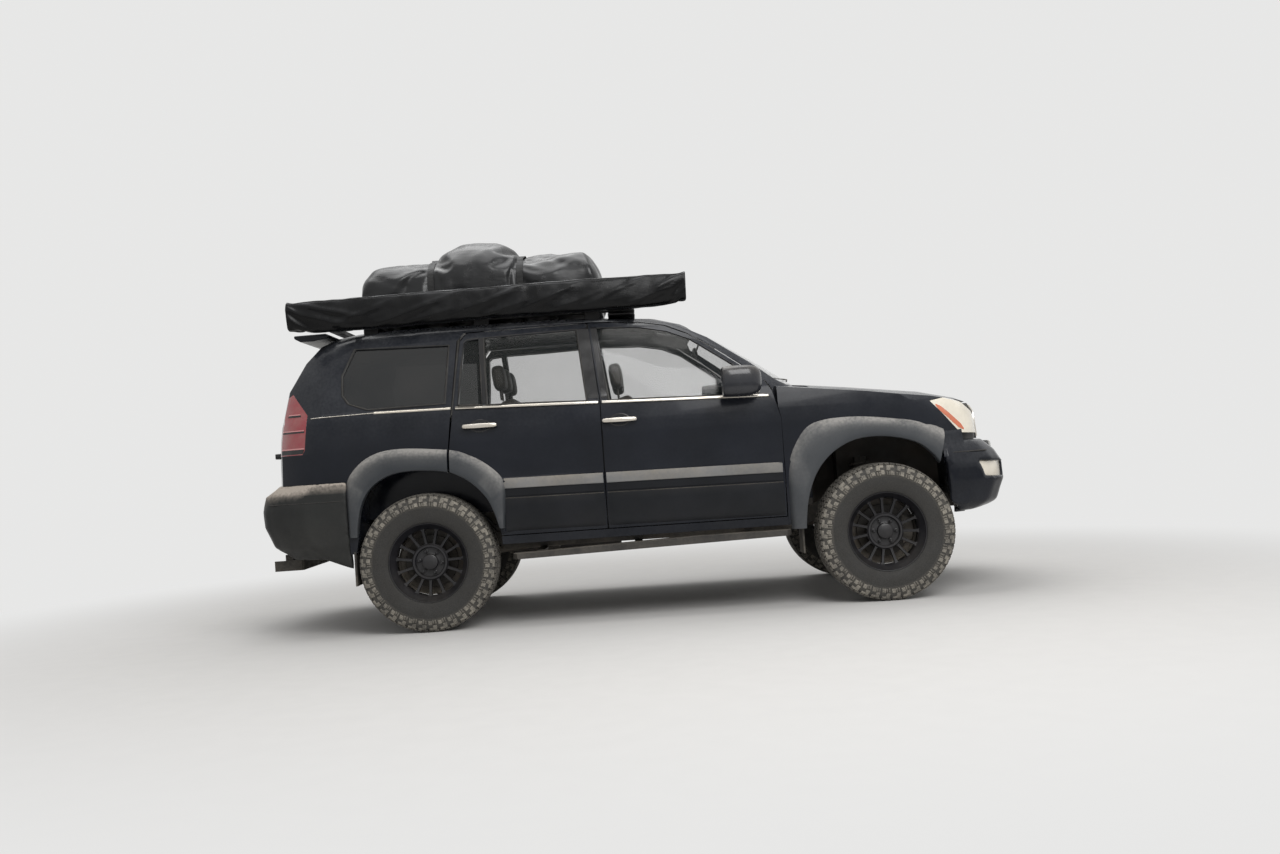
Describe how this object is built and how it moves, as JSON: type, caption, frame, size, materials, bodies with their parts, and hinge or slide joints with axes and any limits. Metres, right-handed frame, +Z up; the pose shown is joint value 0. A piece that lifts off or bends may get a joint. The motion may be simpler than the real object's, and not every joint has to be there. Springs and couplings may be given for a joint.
{
  "type": "lifted off-road 4x4",
  "caption": "Lifted body-on-frame four-by-four with opening doors, steered wheels, roof rack, packed roof tent and side awning bag.",
  "frame": {"origin": "on the ground under the middle of the vehicle's bounding box", "axes": "+X forward, +Y to the vehicle's left, +Z up"},
  "size_m": [4.779, 2.14, 2.453],
  "materials": {
    "body_paint": "gloss",
    "dark_cladding": "satin",
    "black_plastic": "matte",
    "frame_black": "satin",
    "rack_black": "powder coat",
    "grille_dark": "gloss",
    "headlamp_clear": "clear",
    "tail_lamp_red": "gloss",
    "window_glass": "tinted",
    "tent_fabric": "coated cloth",
    "bag_vinyl": "coated cloth",
    "cast_dark": "rough",
    "exhaust_steel": "satin",
    "tank_plastic": "matte",
    "seat_cloth": "satin",
    "dash_plastic": "satin",
    "tyre_rubber": "dusty",
    "rim_black": "satin black",
    "flap_rubber": "matte"
  },
  "bodies": {
    "chassis": {"arch_flares": "dark_cladding", "awning_bag": "bag_vinyl", "body_sides": "body_paint", "bulkhead": "body_paint", "crossmembers": "frame_black", "dashboard": "dash_plastic", "engine_block": "cast_dark", "exhaust": "exhaust_steel", "floor_pan": "body_paint", "frame_rails": "frame_black", "front_bumper": "dark_cladding", "front_suspension": "cast_dark", "front_wings": "body_paint", "fuel_tank": "tank_plastic", "gearbox_and_shafts": "cast_dark", "grille": "grille_dark", "headlamps": "headlamp_clear", "mud_flaps": "flap_rubber", "quarter_glass": "window_glass", "rear_axle": "cast_dark", "rear_bumper": "dark_cladding", "roof_panel": "body_paint", "roof_rack": "rack_black", "roof_spoiler": "body_paint", "roof_tent": "tent_fabric", "seats": "seat_cloth", "side_steps": "black_plastic", "spare_wheel": "tyre_rubber", "steering_wheel": "dash_plastic", "tail_lamps": "tail_lamp_red", "tow_hitch": "frame_black", "windscreen": "window_glass"},
    "door_front_left": {"door_front_left": "body_paint", "door_front_left_glass": "window_glass", "mirror_left": "black_plastic"},
    "door_rear_left": {"door_rear_left": "body_paint", "door_rear_left_glass": "window_glass"},
    "knuckle_left": {"knuckle_left": "cast_dark"},
    "wheel_front_left": {"rim_front_left": "rim_black", "tyre_front_left": "tyre_rubber"},
    "wheel_rear_left": {"rim_rear_left": "rim_black", "tyre_rear_left": "tyre_rubber"},
    "door_front_right": {"door_front_right": "body_paint", "door_front_right_glass": "window_glass", "mirror_right": "black_plastic"},
    "door_rear_right": {"door_rear_right": "body_paint", "door_rear_right_glass": "window_glass"},
    "knuckle_right": {"knuckle_right": "cast_dark"},
    "wheel_front_right": {"rim_front_right": "rim_black", "tyre_front_right": "tyre_rubber"},
    "wheel_rear_right": {"rim_rear_right": "rim_black", "tyre_rear_right": "tyre_rubber"},
    "tailgate": {"tailgate": "body_paint", "tailgate_glass": "window_glass"},
    "bonnet": {"bonnet": "body_paint"}
  },
  "joints": [
    {"name": "door_front_left_hinge", "type": "hinge", "parent": "chassis", "child": "door_front_left", "pos_m": [0.893, 0.918, 1], "axis": [0, 0, -1], "range_deg": [0, 65]},
    {"name": "door_rear_left_hinge", "type": "hinge", "parent": "chassis", "child": "door_rear_left", "pos_m": [-0.203, 0.918, 1], "axis": [0, 0, -1], "range_deg": [0, 65]},
    {"name": "steering_left", "type": "hinge", "parent": "chassis", "child": "knuckle_left", "pos_m": [1.51, 0.72, 0.419], "axis": [0, 0, 1], "range_deg": [-32, 32]},
    {"name": "wheel_front_left_spin", "type": "hinge", "parent": "knuckle_left", "child": "wheel_front_left", "pos_m": [1.51, 0.787, 0.419], "axis": [0, 1, 0], "continuous": true},
    {"name": "wheel_rear_left_spin", "type": "hinge", "parent": "chassis", "child": "wheel_rear_left", "pos_m": [-1.28, 0.787, 0.419], "axis": [0, 1, 0], "continuous": true},
    {"name": "door_front_right_hinge", "type": "hinge", "parent": "chassis", "child": "door_front_right", "pos_m": [0.893, -0.918, 1], "axis": [0, 0, 1], "range_deg": [0, 65]},
    {"name": "door_rear_right_hinge", "type": "hinge", "parent": "chassis", "child": "door_rear_right", "pos_m": [-0.203, -0.918, 1], "axis": [0, 0, 1], "range_deg": [0, 65]},
    {"name": "steering_right", "type": "hinge", "parent": "chassis", "child": "knuckle_right", "pos_m": [1.51, -0.72, 0.419], "axis": [0, 0, 1], "range_deg": [-32, 32]},
    {"name": "wheel_front_right_spin", "type": "hinge", "parent": "knuckle_right", "child": "wheel_front_right", "pos_m": [1.51, -0.787, 0.419], "axis": [0, 1, 0], "continuous": true},
    {"name": "wheel_rear_right_spin", "type": "hinge", "parent": "chassis", "child": "wheel_rear_right", "pos_m": [-1.28, -0.787, 0.419], "axis": [0, 1, 0], "continuous": true},
    {"name": "tailgate_hinge", "type": "hinge", "parent": "chassis", "child": "tailgate", "pos_m": [-2.212, -0.672, 1.2], "axis": [0, 0, 1], "range_deg": [0, 88]},
    {"name": "bonnet_hinge", "type": "hinge", "parent": "chassis", "child": "bonnet", "pos_m": [1.128, 0, 1.388], "axis": [0, -1, 0], "range_deg": [0, 50]}
  ],
  "couplings": [
    {"joint": "steering_right", "follows": "steering_left", "ratio": 1}
  ]
}
